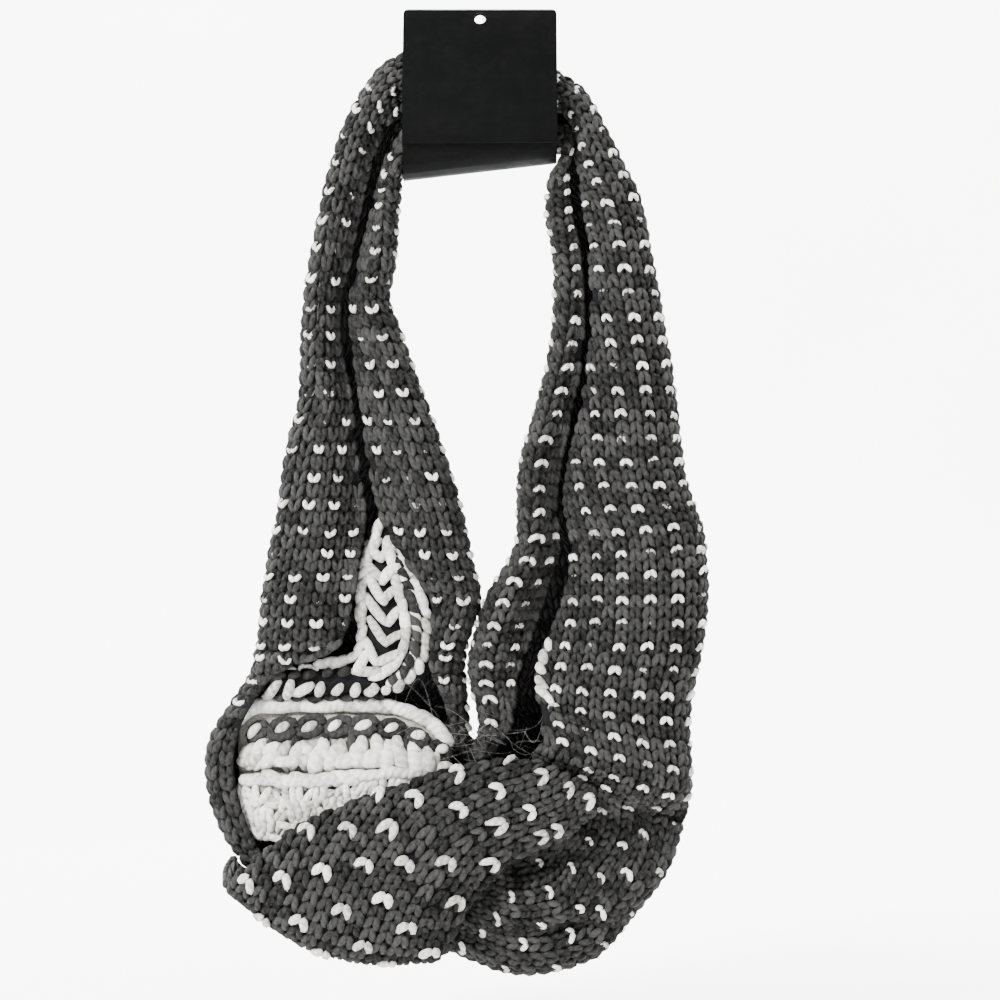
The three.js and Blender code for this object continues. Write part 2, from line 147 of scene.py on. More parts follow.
# Broad folds over the channel: across, along, half size across and along, and height outwards
FOLDS = [
    (0.12, 12, 0.035, 4.0, -3.0),
    (0.20, 14, 0.040, 3.0, 2.5),
    (0.86, 13, 0.040, 3.5, -2.5),
    (0.45, 14, 0.060, 6.0, -4.0),
    (0.62, 12, 0.050, 5.0, -3.5),
    (0.50, 24, 0.070, 5.0, -5.0),
    (0.66, 30, 0.050, 5.0, 3.5),
    (0.16, 37, 0.040, 3.0, -2.5),
    (0.28, 34, 0.040, 3.5, 2.5),
    (0.55, 38, 0.060, 5.0, -4.0),
]

# Ribbons: side a's x and z, side b's x and z, the depth of the two sides, how far the crest stands out,
# and the bow
FRONT_SWEEP = [
    [-170, -570, -42, -624, 4, 4, 3, 17],
    [-173, -577, -36, -628, -8, -8, 5, 19],
    [-169, -585, -30, -633, -20, -20, 10, 19],
    [-158, -576, -24, -626, -31, -31, 13, 15],
    [-142, -563, -17, -611, -32, -34, 15, 8],
    [-122, -547, -10, -598, -33, -34, 16, 3],
    [-92, -533, 0, -585, -34, -34, 16, 0],
    [-54, -520, 10, -573, -34, -34, 16, 0],
    [-27, -510, 22, -565, -35, -33, 15, 0],
    [0, -504, 34, -559, -37, -33, 13, 0],
    [27, -501, 46, -555, -38, -33, 11, 0],
    [47, -504, 58, -549, -39, -34, 9, 0],
    [61, -511, 67, -541, -39, -36, 6, 0],
    [75, -521, 77, -533, -41, -39, 4, 0],
]
INNER_FALL = [
    [-62, -340, -67, -340, 10, 10, 5, 0],
    [-49, -366, -77, -366, 4, 4, 8, 0],
    [-31, -390, -82, -391, 0, 0, 10, 0],
    [-25, -417, -81, -413, -2, -2, 11, 0],
    [-33, -441, -84, -430, -3, -3, 11, 0],
    [-52, -455.8, -98, -437.8, -3, -4, 10, 0],
    [-88, -458.7, -120, -440.7, -3, -5, 9, 0],
    [-128, -459.6, -138, -443.6, -2, -4, 8, 0],
    [-147, -459.6, -149, -449.6, 0, 0, 6, 0],
]
INNER_SWAG = [
    [-165.4, -475.5, -162.4, -548.5, 8.4, 4.4, 8, 0],
    [-152, -461, -140, -557, 9, -6, 13, 0],
    [-122, -460, -116, -556, 9, -10, 16, 0],
    [-92, -460, -88, -550, 9, -12, 17, 0],
    [-59, -463, -58, -541, 8, -12, 17, 0],
    [-37, -474, -33, -532, 4, -12, 14, 0],
    [-23, -490, -18, -522, -3, -11, 10, 0],
]
# how far a ribbon's sides turn under, in radians from its crest
UNDER = 1.83
# shares of a ribbon's width where its lanes are worked out
LANES = np.linspace(0, 1, 81)
# places are read from just before a grid's last row and column
BEFORE_END = 1.001


def smooth_rows(rows, places, closed=False):
    """The values of a table at places between its rows, on a smooth line through every row."""
    rows = np.asarray(rows, float)
    places = np.asarray(places, float)
    count = len(rows)
    base = np.floor(places).astype(int)
    if not closed:
        base = np.clip(base, 0, count - 2)
    t = (places - base)[:, None]
    picks = [base + k for k in (-1, 0, 1, 2)]
    a, b, c, d = (rows[k % count] if closed else rows[np.clip(k, 0, count - 1)] for k in picks)
    slope_in, slope_out, rise = (c - a) / 2, (d - b) / 2, c - b
    bend = 3 * rise - 2 * slope_in - slope_out
    return b + slope_in * t + bend * t**2 + (slope_in + slope_out - 2 * rise) * t**3


def smoothstep(low, high, x):
    t = np.clip((x - low) / (high - low), 0, 1)
    return t * t * (3 - 2 * t)


def bump(x, middle, half):
    return np.exp(-(((x - middle) / half) ** 2))


def unit(vectors):
    return vectors / np.maximum(np.linalg.norm(vectors, axis=-1, keepdims=True), 1e-9)


def grid_normals(points):
    across = np.gradient(points, axis=1)
    along = np.gradient(points, axis=0)
    return unit(np.cross(across, along))


def respaced(points, marks, count):
    """Rows of points respaced evenly, with their lengths and the shares of them at the points in marks."""
    steps = np.linalg.norm(np.diff(points, axis=1), axis=2)
    far = np.concatenate([np.zeros((len(points), 1)), np.cumsum(steps, axis=1)], axis=1)
    shares = far / far[:, -1:]
    even = np.linspace(0, 1, count)
    rows = [
        [np.interp(even, share, line[:, k]) for k in range(3)]
        for share, line in zip(shares, points)
    ]
    return np.array(rows).transpose(0, 2, 1), far[:, -1], [shares[:, m] for m in marks]


def between(grid, row, column):
    """A grid's values between its points, at row and column numbers that need not be whole."""
    i, j = row.astype(int), column.astype(int)
    s, t = row - i, column - j
    if grid.ndim > 2:
        s, t = s[..., None], t[..., None]
    low = grid[i, j] * (1 - t) + grid[i, j + 1] * t
    high = grid[i + 1, j] * (1 - t) + grid[i + 1, j + 1] * t
    return low * (1 - s) + high * s


class Sheet:
    """A smooth sheet of cloth as a fine grid of points, with the size of its stitches."""

    def __init__(self, along, points, length, anchors, pitch, course):
        self.along = along
        self.points = points
        self.normals = grid_normals(points)
        self.length = length
        self.anchors = anchors
        self.pitch = np.interp(along, *np.transpose(pitch))
        steps = np.linalg.norm(np.diff(points, axis=0), axis=2).max(1)
        heights = np.interp((along[1:] + along[:-1]) / 2, *np.transpose(course))
        self.course = np.concatenate([[0], np.cumsum(steps / heights)])
        self.across_of = np.broadcast_to(LANES, (len(along), len(LANES)))

    def at(self, along, values):
        """Values given for each row of points, at places along the sheet."""
        return np.interp(along, self.along, values)

    def row_at(self, along):
        rows = len(self.along)
        return np.clip(self.at(along, np.arange(rows)), 0, rows - BEFORE_END)

    def sample(self, along, across, height=0.0):
        """Points and normals at places on the sheet, raised by height along the normal."""
        row = self.row_at(along)
        column = np.clip(across, 0, 1) * (self.points.shape[1] - BEFORE_END)
        normals = unit(between(self.normals, row, column))
        return between(self.points, row, column) + normals * np.asarray(height)[..., None], normals

    def lane(self, along, share):
        """Across positions of a lane that runs at a share of the way from side a to side b."""
        column = np.clip(share, 0, 1) * (len(LANES) - BEFORE_END)
        return between(self.across_of, self.row_at(along), column)

    def knit_place(self, anchor, course, wale, height):
        """Points, normals and places of stitches counted in courses along and wales from an anchor."""
        along = np.interp(course, self.course, self.along)
        pitch = self.at(along, self.pitch)
        across = self.at(along, self.anchors[anchor]) + wale * pitch / self.at(along, self.length)
        points, normals = self.sample(along, across, height * pitch)
        return points, normals, along, across, pitch


# Folds at the lower right, where the right side doubles under. Each runs across at a height, between
# two places in x with soft ends, with its half height above and below its middle, and its depth.
TURN_FOLDS = [
    [-542, 62, 150, 8, 18, -13.0],
    [-569, 18, 125, 12, 11, -10.0],
    [-592, 0, 115, 11, 11, 3.0],
    [-615, 4, 112, 5, 6, -8.0],
    [-519, 60, 150, 9, 6, 3.0],
]


def turned_folds(points, loop, slope=0.04, soft=12, deep=14, rows=(23, 25, 33, 34.5)):
    """How far the folds at the lower right bring the front of the channel forwards.

    They fade in over a depth in front of the loop, and in and out between the rows.
    """
    x, y, z = points[..., 0], points[..., 1], points[..., 2]
    begin, full, fade, gone = rows
    front = smoothstep(0, deep, -y) * smoothstep(begin, full, loop) * (1 - smoothstep(fade, gone, loop))
    total = np.zeros(x.shape)
    for height, left, right, above, below, depth in TURN_FOLDS:
        off = z - height - slope * (x - left)
        profile = np.exp(-((off / np.where(off > 0, above, below)) ** 2))
        rise = depth * profile * smoothstep(left - soft, left + soft, x)
        total += rise * (1 - smoothstep(right - soft, right + soft, x))
    return total * front


def channel_sheet(per_row=12, columns=360):
    """The whole closed channel, with a spare stretch at both ends of the loop."""
    last = len(SECTIONS) + LEFT_START + 1
    along = np.linspace(-1, last, (last + 1) * per_row + 1)
    row = dict(zip(COLUMNS, smooth_rows(SECTIONS, along, closed=True).T[..., None]))
    width = np.hypot(row["inX"] - row["outX"], row["inZ"] - row["outZ"])
    inset = WALL / 2 + RIB_HEIGHT
    half = row["depth"] / 2 - inset

    def place(angle):
        return inset + (width - 2 * inset) * (1 - np.cos(angle)) / 2

    def height(angle):
        return half * np.maximum(0, np.sin(angle)) ** ROUNDNESS

    t = 1 - np.arange(FINE + 1) / FINE
    out_angle = np.arccos(1 - 2 * row["outFlap"]) * t
    trough = sum(share * bump(t, middle, reach) for middle, reach, share in TROUGHS) * row["rolls"]
    out_y = row["shift"] - row["front"] * height(out_angle)
    out_y = out_y + row["tuck"] * smoothstep(OUT_DIVE, 1, t) + trough
    back_angle = np.pi * np.arange(1, 2 * FINE + 1) / (2 * FINE) + 0 * width
    back_y = row["shift"] + height(back_angle)
    t = np.arange(1, FINE + 1) / FINE
    in_angle = np.pi - (np.pi - np.arccos(1 - 2 * row["inFlap"])) * t
    in_y = row["shift"] - row["front"] * height(in_angle) + row["tuck"] * smoothstep(IN_DIVE, 1, t)

    s = np.concatenate([place(out_angle), place(back_angle), place(in_angle)], axis=1)
    y = np.concatenate([out_y, back_y, in_y], axis=1)
    x = row["outX"] + (row["inX"] - row["outX"]) * s / width
    z = row["outZ"] + (row["inZ"] - row["outZ"]) * s / width
    marks = [FINE, 2 * FINE, 3 * FINE]
    points, length, (outer, middle, inner) = respaced(np.stack([x, y, z], axis=2), marks, columns)

    v = np.linspace(0, 1, columns)[None, :]
    loop = (along % len(SECTIONS))[:, None]
    lift = sum(
        high * bump(v, across, wide) * bump(loop, middle_row, long)
        for across, middle_row, wide, long, high in FOLDS
    )
    points = points + grid_normals(points) * lift[..., None]
    points[..., 1] -= turned_folds(points, loop)
    anchors = {"outer": outer, "middle": middle, "inner": inner}
    return Sheet(along, points, length, anchors, CHANNEL_PITCH, CHANNEL_COURSE)


def ribbon_sheet(rows, pitch, course, creases=(), per_row=24, columns=160):
    """A ribbon from its table. Its wales are counted from side b."""
    along = np.linspace(0, len(rows) - 1, (len(rows) - 1) * per_row + 1)
    a_x, a_z, b_x, b_z, a_edge, b_edge, crest, bow = smooth_rows(rows, along).T[..., None]
    x, z = b_x - a_x, b_z - a_z
    width = np.hypot(x, z)
    angle = UNDER * np.linspace(-1, 1, columns)[None, :]
    t = (1 + np.sin(angle)) / 2
    push = bow * np.sin(np.pi * t)
    points = np.stack([
        a_x + x * t + z / width * push,
        a_edge + (b_edge - a_edge) * t - crest * np.cos(angle),
        a_z + z * t - x / width * push,
    ], axis=2)
    points, length, _ = respaced(points, [], columns)
    share = ((points[:, :, 0] - a_x) * x + (points[:, :, 2] - a_z) * z) / width**2
    for fold_share, fold_along, half_share, half_along, height in creases:
        lift = height * bump(share, fold_share, half_share) * bump(along[:, None], fold_along, half_along)
        points = points + grid_normals(points) * lift[..., None]
    sheet = Sheet(along, points, length, {"b": np.ones(len(along))}, pitch, course)
    even = np.linspace(0, 1, columns)
    sheet.across_of = np.array([
        np.interp(LANES, line[line.argmin():line.argmax() + 1], even[line.argmin():line.argmax() + 1])
        for line in share
    ])
    return sheet


# Stitch sizes along the sheets: place along, then millimetres for each wale or course
CHANNEL_PITCH = [(-1, 7.6), (4, 7.8), (10, 9.0), (20, 9.6), (37, 9.5), (44, 8.8), (48, 7.8), (53, 7.6)]
CHANNEL_COURSE = [
    (-1, 8.4), (4, 9.2), (8, 10.4), (13, 10.2), (16, 9.0), (24, 9.4), (30, 9.2), (35, 8.6), (53, 8.4),
]
SWEEP_PITCH = [(0, 11.0), (7, 11.0), (12, 8.5)]
SWEEP_COURSE = [(0, 9.0), (4, 9.4), (12, 9.0)]
FALL_PITCH = [(0, 7.0), (3, 9.0), (8, 7.0)]
FALL_COURSE = [(0, 8.0), (8, 8.0)]
SWAG_PITCH = [(0, 7.0), (6, 7.0)]
SWAG_COURSE = [(0, 7.5), (6, 7.5)]
# creases: share across, place along, half size across and along, and height outwards
SWAG_CREASES = [(0.50, 1.8, 0.045, 1.3, -7.0), (0.62, 2.2, 0.07, 1.8, 3.0), (0.36, 3.6, 0.06, 1.6, 2.0)]

channel = channel_sheet()
sweep = ribbon_sheet(FRONT_SWEEP, SWEEP_PITCH, SWEEP_COURSE)
fall = ribbon_sheet(INNER_FALL, FALL_PITCH, FALL_COURSE)
swag = ribbon_sheet(INNER_SWAG, SWAG_PITCH, SWAG_COURSE, SWAG_CREASES)


# Meshes

# the twists of two stitches start up to this many millimetres apart
TWIST_START = 37.0


def link_mesh(name, vertices, faces, material):
    """A mesh object from points in millimetres and one array of faces for each number of corners."""
    mesh = bpy.data.meshes.new(name)
    corners = np.concatenate([f.ravel() for f in faces])
    sizes = np.concatenate([np.full(len(f), f.shape[1]) for f in faces])
    mesh.vertices.add(len(vertices))
    mesh.vertices.foreach_set("co", (np.asarray(vertices) * MM).astype(np.float32).ravel())
    mesh.loops.add(len(corners))
    mesh.loops.foreach_set("vertex_index", corners.astype(np.int32))
    mesh.polygons.add(len(sizes))
    starts = np.concatenate([[0], np.cumsum(sizes)[:-1]])
    mesh.polygons.foreach_set("loop_start", starts.astype(np.int32))
    mesh.polygons.foreach_set("use_smooth", np.ones(len(sizes), bool))
    mesh.update(calc_edges=True)
    mesh.validate()
    mesh.materials.append(material)
    piece = bpy.data.objects.new(name, mesh)
    bpy.context.scene.collection.objects.link(piece)
    return piece


def vertex_uv(mesh, name, values):
    """A UV map from one pair of numbers for each vertex."""
    corners = np.empty(len(mesh.loops), np.int32)
    mesh.loops.foreach_get("vertex_index", corners)
    layer = mesh.uv_layers.new(name=name)
    layer.data.foreach_set("uv", np.asarray(values)[corners].astype(np.float32).ravel())


def tubes(name, centres, normals, radii, shade, material, sides=6):
    """Many closed tubes in one mesh, from (tubes, rings, 3), (tubes, rings) and (tubes) arrays."""
    count, rings = radii.shape
    tangent = unit(np.gradient(centres, axis=1))
    side = unit(np.cross(normals, tangent))
    up = np.cross(tangent, side)
    turn = 2 * np.pi * np.arange(sides) / sides
    around = side[:, :, None] * np.cos(turn)[:, None] + up[:, :, None] * np.sin(turn)[:, None]
    vertices = (centres[:, :, None] + around * radii[:, :, None, None]).reshape(-1, 3)
    first = np.arange(count * rings).reshape(count, rings)[:, :-1, None] * sides
    k = np.arange(sides)
    after = (k + 1) % sides
    walls = np.stack([first + k, first + after, first + after + sides, first + k + sides], axis=-1)
    start = np.arange(count)[:, None] * rings * sides
    caps = np.concatenate([start + k[::-1], start + (rings - 1) * sides + k])
    piece = link_mesh(name, vertices, [walls.reshape(-1, 4), caps], material)
    tone = piece.data.attributes.new("shade", "FLOAT", "POINT")
    tone.data.foreach_set("value", np.repeat(shade, rings * sides).astype(np.float32))
    far = np.concatenate([
        np.zeros((count, 1)), np.cumsum(np.linalg.norm(np.diff(centres, axis=1), axis=2), axis=1),
    ], axis=1)
    far = far + (shade * TWIST_START)[:, None]
    uv = np.stack([
        np.broadcast_to(k / sides, (count, rings, sides)),
        np.broadcast_to(far[:, :, None], (count, rings, sides)),
    ], axis=-1)
    vertex_uv(piece.data, "yarn", uv.reshape(-1, 2))
    return piece


def cloth_shell(name, sheet, start, end, materials, inner=-2.2, outer=0.1, step=0.25, columns=90):
    """A thin closed sheet under the stitches, from one place along the band to another."""
    count = max(4, int(round((end - start) / step)))
    u, v = np.meshgrid(np.linspace(start, end, count + 1), np.linspace(0, 1, columns), indexing="ij")
    grid = np.arange(u.size).reshape(u.shape)
    quads = np.stack([grid[:-1, :-1], grid[:-1, 1:], grid[1:, 1:], grid[1:, :-1]], axis=-1).reshape(-1, 4)
    layers = [sheet.sample(u, v, np.full(u.shape, height))[0].reshape(-1, 3) for height in (outer, inner)]
    under = u.size
    rim = np.concatenate([grid[0, :-1], grid[:-1, -1], grid[-1, :0:-1], grid[:0:-1, 0]])
    rim_after = np.roll(rim, -1)
    rims = np.stack([rim_after, rim, rim + under, rim_after + under], axis=-1)
    faces = np.concatenate([quads, quads[:, ::-1] + under, rims])
    piece = link_mesh(name, np.concatenate(layers), [faces], materials[0])
    piece.data.materials.append(materials[1])
    slots = np.concatenate([np.zeros(len(quads)), np.ones(len(quads)), np.zeros(len(rims))])
    piece.data.polygons.foreach_set("material_index", slots.astype(np.int32))
    wale = v * sheet.at(u, sheet.length) / sheet.at(u, sheet.pitch)
    uv = np.stack([wale, sheet.at(u, sheet.course)], axis=-1).reshape(-1, 2)
    vertex_uv(piece.data, "knit", np.concatenate([uv, uv]))
    return piece


# Materials

# noise scales of the yarn's nap and its broad mottling, and of the dark ground's nap
NAP = 1500.0
MOTTLING = 330.0
GROUND_NAP = 900.0


def nodes_of(name):
    material = bpy.data.materials.new(name)
    material.use_nodes = True
    tree = material.node_tree
    return material, tree, tree.nodes["Principled BSDF"]


def add_node(tree, kind, inputs=(), **settings):
    node = tree.nodes.new(kind)
    for key, value in settings.items():
        setattr(node, key, value)
    for key, value in dict(inputs).items():
        if isinstance(value, bpy.types.NodeSocket):
            tree.links.new(value, node.inputs[key])
        else:
            node.inputs[key].default_value = value
    return node


def math_node(tree, operation, a, b=0.0, c=0.0):
    return add_node(tree, "ShaderNodeMath", {0: a, 1: b, 2: c}, operation=operation).outputs[0]


def ramp(tree, value, stops):
    node = add_node(tree, "ShaderNodeValToRGB", {0: value})
    elements = node.color_ramp.elements
    for _ in range(len(stops) - len(elements)):
        elements.new(1.0)
    for element, (place, colour) in zip(elements, stops):
        element.position = place
        element.color = (*colour, 1.0)
    return node.outputs["Color"]


def noise(tree, vector, scale, detail=3.0, rough=0.55):
    inputs = {"Vector": vector, "Scale": scale, "Detail": detail, "Roughness": rough}
    return add_node(tree, "ShaderNodeTexNoise", inputs).outputs["Fac"]


def bumped(tree, height, distance, strength=1.0, normal=None):
    inputs = {"Height": height, "Distance": distance, "Strength": strength}
    if normal is not None:
        inputs["Normal"] = normal
    return add_node(tree, "ShaderNodeBump", inputs).outputs["Normal"]


def yarn_material(name, dark, light, sheen, plies=2.0, turns=0.22):
    """Plied, slightly felted yarn, whose twist follows its length. Each stitch has its own tone.

    turns is how many plies pass in a millimetre, so two of them turn once in about nine.
    """
    material, tree, shader = nodes_of(name)
    place = add_node(tree, "ShaderNodeTexCoord").outputs["Object"]
    uv = add_node(tree, "ShaderNodeUVMap", uv_map="yarn").outputs["UV"]
    split = add_node(tree, "ShaderNodeSeparateXYZ", {0: uv})
    tone = add_node(tree, "ShaderNodeAttribute", attribute_name="shade").outputs["Fac"]
    twist = math_node(tree, "MULTIPLY", split.outputs["Y"], turns)
    twist = math_node(tree, "ADD", twist, math_node(tree, "MULTIPLY", split.outputs["X"], plies))
    ply = math_node(tree, "SINE", math_node(tree, "MULTIPLY", twist, 2 * math.pi))
    fibre = noise(tree, place, NAP, 4.0, 0.7)
    cloud = noise(tree, place, MOTTLING, 3.0)
    value = math_node(tree, "MULTIPLY_ADD", fibre, 0.55, math_node(tree, "MULTIPLY", tone, 0.45))
    value = math_node(tree, "MULTIPLY_ADD", cloud, 0.7, math_node(tree, "ADD", value, -0.375))
    value = math_node(tree, "MULTIPLY_ADD", ply, 0.06, value)
    colour = ramp(tree, value, [(0.15, dark), (0.85, light)])
    tree.links.new(colour, shader.inputs["Base Color"])
    normal = bumped(tree, ply, 0.00035, 0.7)
    normal = bumped(tree, fibre, 0.0006, 0.9, normal)
    tree.links.new(normal, shader.inputs["Normal"])
    shader.inputs["Roughness"].default_value = 0.92
    shader.inputs["Specular IOR Level"].default_value = 0.06
    shader.inputs["Sheen Weight"].default_value = sheen
    shader.inputs["Sheen Roughness"].default_value = 0.5
    shader.inputs["Sheen Tint"].default_value = (*light, 1.0)
    return material


def backing_material(name, dark, light):
    """The ground between the stitches, darker than its yarn: painted shade in the gaps."""
    material, tree, shader = nodes_of(name)
    place = add_node(tree, "ShaderNodeTexCoord").outputs["Object"]
    fibre = noise(tree, place, GROUND_NAP, 4.0, 0.7)
    tree.links.new(ramp(tree, fibre, [(0.3, dark), (0.8, light)]), shader.inputs["Base Color"])
    tree.links.new(bumped(tree, fibre, 0.0008), shader.inputs["Normal"])
    shader.inputs["Roughness"].default_value = 0.95
    shader.inputs["Specular IOR Level"].default_value = 0.1
    return material


def reverse_material(name, ground, figure, groove_shade, slant=-1.3):
    """The reverse of the knit as nested Vs, drawn by wales and courses, in near-black painted shade."""
    material, tree, shader = nodes_of(name)

    def calc(operation, *values):
        return math_node(tree, operation, *values)

    def mixed(factor, a, b):
        return add_node(tree, "ShaderNodeMix", {0: factor, 6: a, 7: b}, data_type="RGBA").outputs[2]

    uv = add_node(tree, "ShaderNodeUVMap", uv_map="knit").outputs["UV"]
    split = add_node(tree, "ShaderNodeSeparateXYZ", {0: uv})
    wale, course = split.outputs["X"], split.outputs["Y"]
    side = calc("ABSOLUTE", calc("SUBTRACT", calc("FRACT", wale), 0.5))
    row = calc("MULTIPLY_ADD", side, slant, course)
    along = calc("ABSOLUTE", calc("SUBTRACT", calc("FRACT", row), 0.5))
    # a leg is highest in its middle, both along and across
    body = calc("SUBTRACT", 1.0, calc("POWER", calc("MULTIPLY", along, 2.0), 3.0))
    cross = calc("ABSOLUTE", calc("SUBTRACT", side, 0.25))
    width = calc("SUBTRACT", 1.0, calc("POWER", calc("MULTIPLY", cross, 4.0), 2.0))
    high = calc("MULTIPLY", body, width)
    # the figure is every second stitch of every second wale
    pair = calc("FLOOR", wale)
    turn = calc("ADD", calc("FLOOR", row), calc("MULTIPLY", pair, 0.5))
    mark = calc("GREATER_THAN", calc("FRACT", calc("MULTIPLY", turn, 0.5)), 0.6)
    mark = calc("MULTIPLY", mark, calc("GREATER_THAN", calc("MODULO", pair, 2.0), 0.5))
    tint = mixed(mark, (*ground, 1), (*figure, 1))
    # painted shade: where the legs are low the colour falls to the gap colour, shade painted between them
    shaded = mixed(calc("MULTIPLY", high, 1.6), (*groove_shade, 1), tint)
    tree.links.new(shaded, shader.inputs["Base Color"])
    tree.links.new(bumped(tree, high, 0.003), shader.inputs["Normal"])
    shader.inputs["Roughness"].default_value = 0.95
    return material


def card_material(name, colour, worn, rough):
    material, tree, shader = nodes_of(name)
    place = add_node(tree, "ShaderNodeTexCoord").outputs["Object"]
    grain = noise(tree, place, 1800.0, 3.0, 0.6)
    cloud = noise(tree, place, 45.0, 3.0, 0.6)
    scuff = noise(tree, place, 260.0, 6.0, 0.75)
    value = math_node(tree, "MULTIPLY_ADD", scuff, 0.6, math_node(tree, "MULTIPLY", cloud, 0.4))
    tree.links.new(ramp(tree, value, [(0.45, colour), (0.8, worn)]), shader.inputs["Base Color"])
    spread = {"Value": cloud, "To Min": rough - 0.1, "To Max": rough + 0.12}
    gloss = add_node(tree, "ShaderNodeMapRange", spread).outputs[0]
    tree.links.new(gloss, shader.inputs["Roughness"])
    tree.links.new(bumped(tree, grain, 0.00008), shader.inputs["Normal"])
    shader.inputs["Specular IOR Level"].default_value = 0.03
    return material


CHARCOAL_DARK = (0.003, 0.003, 0.0029)
CHARCOAL_LIGHT = (0.036, 0.036, 0.0345)
WHITE_DARK = (0.17, 0.165, 0.145)
WHITE_LIGHT = (0.73, 0.72, 0.68)
charcoal_yarn = yarn_material("charcoal_yarn", CHARCOAL_DARK, CHARCOAL_LIGHT, 0.3)
white_yarn = yarn_material("white_yarn", WHITE_DARK, WHITE_LIGHT, 0.1)
fibre_grey = yarn_material("fibre_grey", (0.04, 0.04, 0.038), (0.20, 0.20, 0.19), 0.3)
# both grounds are darker than their yarns: painted shade between the stitches
charcoal_ground_painted_shade = backing_material("charcoal_ground_painted_shade", (0.0015, 0.0015, 0.0017), (0.009, 0.009, 0.010))
white_ground_painted_shade = backing_material("white_ground_painted_shade", (0.12, 0.115, 0.095), (0.46, 0.44, 0.39))
# the reverse's colours are near black: painted shade for the inside of the channel, whose real reverse is
# mostly white
reverse_knit_painted_shade = reverse_material(
    "reverse_knit_painted_shade", (0.035, 0.035, 0.034), (0.008, 0.008, 0.009), (0.002, 0.002, 0.002),
)

# Stitches: one leg of a V from its closed end to its open end. Across is in wales, along in courses,
# lift in wales above the sheet, and thick is a share of the yarn's radius.
LEG = np.array([
    (0.06, 0.60, -0.04, 0.45),
    (0.12, 0.36, 0.12, 0.95),
    (0.23, 0.03, 0.19, 1.04),
    (0.32, -0.33, 0.11, 0.95),
    (0.37, -0.62, -0.10, 0.45),
])
# a fleck is a rounder, thinner stitch that lies on the charcoal one
FLECK = np.array([
    (0.02, 0.28, 0.31, 0.64),
    (0.13, 0.22, 0.36, 0.80),
    (0.24, 0.07, 0.35, 0.82),
    (0.31, -0.10, 0.27, 0.70),
    (0.34, -0.25, 0.12, 0.40),
])
# on the front band they are larger
WIDE_FLECK = FLECK * (1.35, 1.65, 1.08, 1.4)
YARN_RADIUS = 0.24
# how far a stitch strays across, along and in lift, how much its yarn's radius varies, and how unlike its
# two legs stray along
STRAY = (0.028, 0.06, 0.028, 0.06)
LEG_STRAY = 0.4


def stitch_tubes(sheet, anchor, cells, leg, sink=0.0):
    """Both legs of the stitches at these wales and courses, as arrays for tubes().

    The darker a stitch is, the deeper it sinks, up to sink wales.
    """
    wale, course, stretch = cells
    count = len(wale)
    shake = RANDOM.normal(size=(count, 4)) * STRAY
    shade = RANDOM.random(count)
    shake[:, 2] -= sink * (1 - shade) ** 2
    parts = []
    for way in (1, -1):
        across = wale[:, None] + way * leg[:, 0] + shake[:, :1]
        along = course[:, None] + (leg[:, 1] + shake[:, 1:2] * (1 + LEG_STRAY * way)) * stretch[:, None]
        lift = leg[:, 2] + shake[:, 2:3]
        centres, normals, _, _, pitch = sheet.knit_place(anchor, along, across, lift)
        radii = pitch * YARN_RADIUS * leg[:, 3] * (1 + shake[:, 3:4])
        parts.append((centres, normals, radii, shade))
    return [np.concatenate(columns) for columns in zip(*parts)]


def knit_cells(sheet, anchor, start, end, wales, keep, crowded=0.82, doublings=3, margin=0.004):
    """The wales and courses of the stitches that lie on the sheet between two places along it.

    Where the courses crowd together, as round a tight turn, one stitch stands for 2, 4 or 8 of them.
    margin is the share of the sheet's width at each edge that has no stitch's centre.
    """
    first, last = sheet.at(start, sheet.course), sheet.at(end, sheet.course)
    course, wale = np.meshgrid(np.arange(math.ceil(first), last), np.arange(*wales), indexing="ij")
    course, wale = course.ravel(), wale.ravel() + 0.5
    flat = np.zeros(course.shape)
    points, _, along, across, pitch = sheet.knit_place(anchor, course, wale, flat)
    after = sheet.knit_place(anchor, course + 0.5, wale, flat)[0]
    before = sheet.knit_place(anchor, course - 0.5, wale, flat)[0]
    height = np.linalg.norm(after - before, axis=1)
    stretch = 2.0 ** np.clip(np.round(np.log2(crowded * pitch / np.maximum(height, 0.1))), 0, doublings)
    inside = (across > margin) & (across < 1 - margin)
    inside = inside & (course % stretch == 0) & keep(along, across, points)
    return wale[inside], course[inside], stretch[inside], points[inside], along[inside]


def dense_flecks(wale, course, stretch, points, along):
    """White stitches in every second wale and course, in level rows."""
    return (np.floor(wale) % 2 == 0) & ((course / stretch) % 2 == 0)


def sparse_flecks(wale, course, stretch, points, along):
    """White stitches in every second wale and fourth course, half a repeat apart in the next column."""
    column = np.floor(wale)
    return (column % 2 == 0) & ((course / stretch + column % 4) % 4 == 0)


def channel_flecks(wale, course, stretch, points, along, apart=(22.5, 31.5), edge=(-150, -468)):
    """The limbs' flecks stand close, those round the bottom apart, and the far left edge has none."""
    cells = wale, course, stretch, points, along
    sparse = (along > apart[0]) & (along < apart[1])
    plain = (points[:, 0] < edge[0]) & (points[:, 2] < edge[1])
    return np.where(sparse, sparse_flecks(*cells), dense_flecks(*cells)) & ~plain


def everywhere(along, across, points):
    return np.full(along.shape, True)


